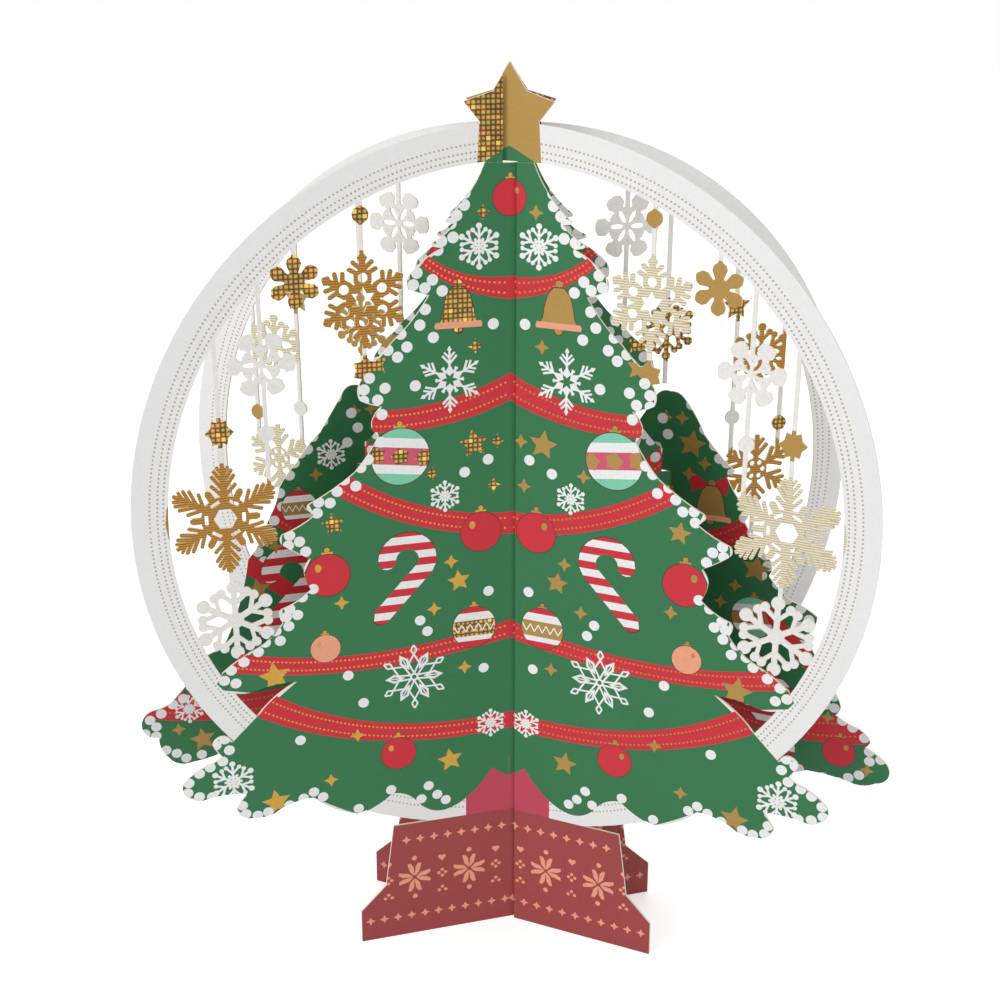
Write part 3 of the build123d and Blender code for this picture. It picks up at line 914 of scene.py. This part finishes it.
def drop_loose(mesh):
    """Leaves out vertices that no face uses."""
    work = bmesh.new()
    work.from_mesh(mesh)
    loose = [vertex for vertex in work.verts if not vertex.link_faces]
    bmesh.ops.delete(work, geom=loose, context="VERTS")
    work.to_mesh(mesh)
    work.free()


def finishes_of(scene):
    """The card's materials, made once."""
    if "card_grain" not in bpy.data.node_groups:
        finishes_of.found = make_materials(scene.card_inks, scene.card_finish)
    return finishes_of.found


def settle(piece, node, body):
    """Puts a finished sheet in its CAD node's place."""
    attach(piece, body)
    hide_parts(node)


class CARD_OT_tree_sheets(bpy.types.Operator):
    """Makes the two big sheets that cross at the middle of the card"""
    bl_idname = "card.tree_sheets"
    bl_label = "Big tree sheets"

    def execute(self, context):
        finishes = finishes_of(context.scene)
        for name, node, body, slot, turn, front_side, metals in (
                ("big_tree_card_a", "tree_sheet_a", "sheet_a", "foil_card", SPREAD, -1, FOIL_SHEET),
                ("big_tree_card_b", "tree_sheet_b", "sheet_b", "printed_card", -SPREAD, 1, MATT_SHEET)):
            print_ = big_print(metals, front_side)
            piece = printed_sheet(name, node, sheet_plane(turn), print_, finishes)
            settle(piece, node, body)
        return {"FINISHED"}


class CARD_OT_small_trees(bpy.types.Operator):
    """Makes the two small tree sheets behind the big ones"""
    bl_idname = "card.small_trees"
    bl_label = "Small trees"

    def execute(self, context):
        finishes = finishes_of(context.scene)
        for name, node, body, slot, turn, side in (
                ("small_tree_card_a", "small_tree_a", "small_a", "foil_card", SPREAD, -1),
                ("small_tree_card_b", "small_tree_b", "small_b", "printed_card", -SPREAD, 1)):
            plane = sheet_plane(turn, side * SMALL_TREE, -turn)
            piece = printed_sheet(name, node, plane, small_print(), finishes)
            settle(piece, node, body)
        return {"FINISHED"}


CAMERA_PLACE = (-0.025, -3.840, 2.805)
CAMERA_AIM = (-0.025, 0.0, 1.346)
CAMERA_TURN = radians(4)
LENS = 54.48
FLOOR_REACH = 6.0
AMBIENT = 0.55               # strength of the plain light from all round
FLOOR_GLOW = 0.48            # keeps the floor white where the camera sees it


def aimed(thing, place, target):
    thing.location = place
    thing.rotation_euler = (Vector(target) - Vector(place)).to_track_quat("-Z", "Y").to_euler()
    bpy.context.scene.collection.objects.link(thing)
    return thing


def soft_lamp(name, place, target, size, power):
    lamp = bpy.data.lights.new(name, "AREA")
    lamp.shape = "DISK"
    lamp.size = size
    lamp.energy = power
    aimed(bpy.data.objects.new(name, lamp), place, target)


def seen_directly(tree):
    """1 where the camera sees a surface itself, or in a mirror or through glass."""
    path = tree.nodes.new("ShaderNodeLightPath")
    return maths(tree, "MINIMUM", 1.0, maths(tree, "ADD", path.outputs["Is Camera Ray"], maths(
        tree, "ADD", path.outputs["Is Glossy Ray"], path.outputs["Is Transmission Ray"])))


class CARD_OT_stage(bpy.types.Operator):
    """Makes the floor, the soft studio light and the camera"""
    bl_idname = "card.stage"
    bl_label = "Stage"

    def execute(self, context):
        mesh = bpy.data.meshes.new("floor")
        r = FLOOR_REACH
        mesh.from_pydata([(-r, -r, 0), (r, -r, 0), (r, r, 0), (-r, r, 0)], [], [(0, 1, 2, 3)])
        floor = bpy.data.objects.new("floor", mesh)
        context.scene.collection.objects.link(floor)
        material, shader = new_material("floor_paper")
        shader.inputs["Base Color"].default_value = (0.9, 0.9, 0.9, 1)
        shader.inputs["Roughness"].default_value = 0.9
        shader.inputs["Specular IOR Level"].default_value = 0.1
        shader.inputs["Emission Color"].default_value = (1, 1, 1, 1)
        material.node_tree.links.new(
            maths(material.node_tree, "MULTIPLY", seen_directly(material.node_tree), FLOOR_GLOW),
            shader.inputs["Emission Strength"])
        mesh.materials.append(material)

        world = bpy.data.worlds.new("studio")
        world.use_nodes = True
        tree = world.node_tree
        background = tree.nodes["Background"]
        tree.links.new(maths(tree, "MULTIPLY_ADD", seen_directly(tree), 1 - AMBIENT, AMBIENT),
                       background.inputs["Strength"])
        background.inputs["Color"].default_value = (1, 1, 1, 1)
        context.scene.world = world

        soft_lamp("key_lamp", (-0.75, -0.65, 0.70), (0, 0, 0.09), 0.5, 5.2)
        soft_lamp("fill_lamp", (0.75, -0.55, 0.55), (0, 0, 0.09), 0.6, 1.1)
        soft_lamp("back_lamp", (0.1, 0.8, 0.8), (0, 0, 0.1), 0.6, 2.0)

        turn = Matrix.Rotation(CAMERA_TURN, 3, "Z")
        lens = bpy.data.cameras.new("camera")
        lens.lens = LENS
        lens.sensor_width = 36.0
        lens.clip_start = 0.005
        camera = aimed(bpy.data.objects.new("camera", lens), turn @ Vector(CAMERA_PLACE) * RING,
                       turn @ Vector(CAMERA_AIM) * RING)
        context.scene.camera = camera
        context.scene.view_settings.view_transform = "Standard"
        return {"FINISHED"}


STEPS = (CARD_OT_tree_sheets, CARD_OT_small_trees, CARD_OT_stage)


class CARD_PT_panel(bpy.types.Panel):
    """Lists the card's pieces, inks and finishes"""
    bl_idname = "CARD_PT_panel"
    bl_label = "Pop up card"
    bl_space_type = "VIEW_3D"
    bl_region_type = "UI"
    bl_category = "Pop up card"

    def draw(self, context):
        for step in STEPS:
            self.layout.operator(step.bl_idname)
        for group in (context.scene.card_inks, context.scene.card_finish):
            for name in group.__annotations__:
                self.layout.prop(group, name)


CLASSES = (CardInks, CardFinish) + STEPS + (CARD_PT_panel,)


def register():
    for item in CLASSES:
        bpy.utils.register_class(item)
    bpy.types.Scene.card_inks = PointerProperty(type=CardInks)
    bpy.types.Scene.card_finish = PointerProperty(type=CardFinish)


def unregister():
    del bpy.types.Scene.card_finish
    del bpy.types.Scene.card_inks
    for item in reversed(CLASSES):
        bpy.utils.unregister_class(item)


def main():
    register()
    bpy.ops.card.tree_sheets()
    bpy.ops.card.small_trees()
    bpy.ops.card.stage()


if __name__ == "__main__":
    main()
